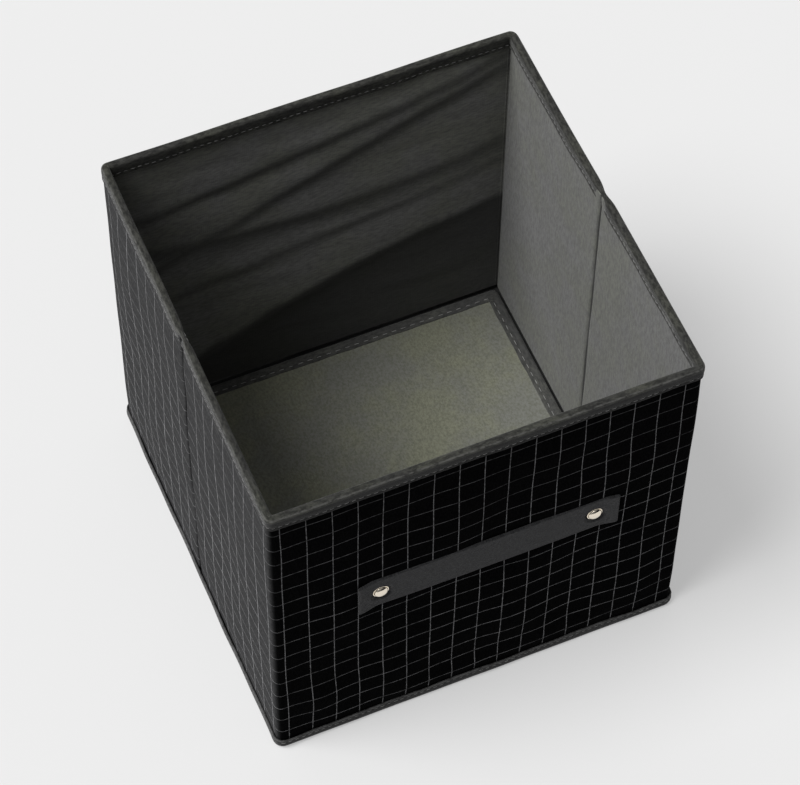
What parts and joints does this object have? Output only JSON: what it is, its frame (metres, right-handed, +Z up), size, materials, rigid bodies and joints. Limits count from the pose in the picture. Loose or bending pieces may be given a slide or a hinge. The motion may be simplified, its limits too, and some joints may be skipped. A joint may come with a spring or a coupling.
{
  "type": "fabric storage bin",
  "caption": "Collapsible cube-shaped fabric storage bin with board-stiffened walls, creased sides that fold flat, a loose base insert and a riveted strap handle.",
  "frame": {"origin": "centre of the square underside, on the surface that the bin stands on", "axes": "+X to the right seen from the front, -Y to the front where the handle is, +Z up"},
  "size_m": [0.2806, 0.2836, 0.28],
  "materials": {
    "cover_cloth": "black non-woven cloth with a fine printed grey grid",
    "lining_cloth": "charcoal non-woven lining",
    "insert_cloth": "mottled olive-grey non-woven cloth",
    "bottom_cloth": "plain charcoal non-woven cloth",
    "binding_tape": "folded charcoal binding tape, stitched",
    "strap_felt": "dense charcoal felt strap",
    "board": "grey-brown board, inside the cloth",
    "rivet_brass": "polished pale brass"
  },
  "bodies": {
    "root": {"front_cover": "cover_cloth", "front_board": "board", "front_lining": "lining_cloth", "front_rim_tape": "binding_tape", "bottom_cloth": "bottom_cloth", "bottom_seam_tape": "binding_tape", "handle_strap": "strap_felt", "rivet_caps": "rivet_brass", "rivet_posts": "rivet_brass", "rivet_washers": "rivet_brass"},
    "left_front": {"left_front_cover": "cover_cloth", "left_front_board": "board", "left_front_lining": "lining_cloth", "left_front_rim_tape": "binding_tape"},
    "left_rear": {"left_rear_cover": "cover_cloth", "left_rear_board": "board", "left_rear_lining": "lining_cloth", "left_rear_rim_tape": "binding_tape"},
    "right_front": {"right_front_cover": "cover_cloth", "right_front_board": "board", "right_front_lining": "lining_cloth", "right_front_rim_tape": "binding_tape"},
    "right_rear": {"right_rear_cover": "cover_cloth", "right_rear_board": "board", "right_rear_lining": "lining_cloth", "right_rear_rim_tape": "binding_tape"},
    "back": {"back_cover": "cover_cloth", "back_board": "board", "back_lining": "lining_cloth", "back_rim_tape": "binding_tape"},
    "insert": {"insert_lower_cloth": "lining_cloth", "insert_board": "board", "insert_upper_cloth": "insert_cloth", "insert_binding": "binding_tape"}
  },
  "joints": [
    {"name": "fold", "type": "hinge", "parent": "root", "child": "left_front", "pos_m": [-0.13715, -0.13215, 0.14], "axis": [0, 0, -1], "range_deg": [0, 88], "deforming": ["bottom_cloth", "bottom_seam_tape"]},
    {"name": "left_crease", "type": "hinge", "parent": "left_front", "child": "left_rear", "pos_m": [-0.1402, 0, 0.14], "axis": [0, 0, 1], "range_deg": [0, 176]},
    {"name": "back_left_corner", "type": "hinge", "parent": "left_rear", "child": "back", "pos_m": [-0.13715, 0.13215, 0.14], "axis": [0, 0, -1], "range_deg": [0, 88]},
    {"name": "front_right_corner", "type": "hinge", "parent": "root", "child": "right_front", "pos_m": [0.13715, -0.13215, 0.14], "axis": [0, 0, 1], "range_deg": [0, 88]},
    {"name": "right_crease", "type": "hinge", "parent": "right_front", "child": "right_rear", "pos_m": [0.1402, 0, 0.14], "axis": [0, 0, -1], "range_deg": [0, 176]},
    {"name": "insert_lift", "type": "slide", "parent": "root", "child": "insert", "axis": [0, 0, 1], "range_m": [0, 0.3]}
  ],
  "couplings": [
    {"joint": "left_crease", "follows": "fold", "ratio": 2},
    {"joint": "back_left_corner", "follows": "fold", "ratio": 1},
    {"joint": "front_right_corner", "follows": "fold", "ratio": 1},
    {"joint": "right_crease", "follows": "fold", "ratio": 2}
  ]
}
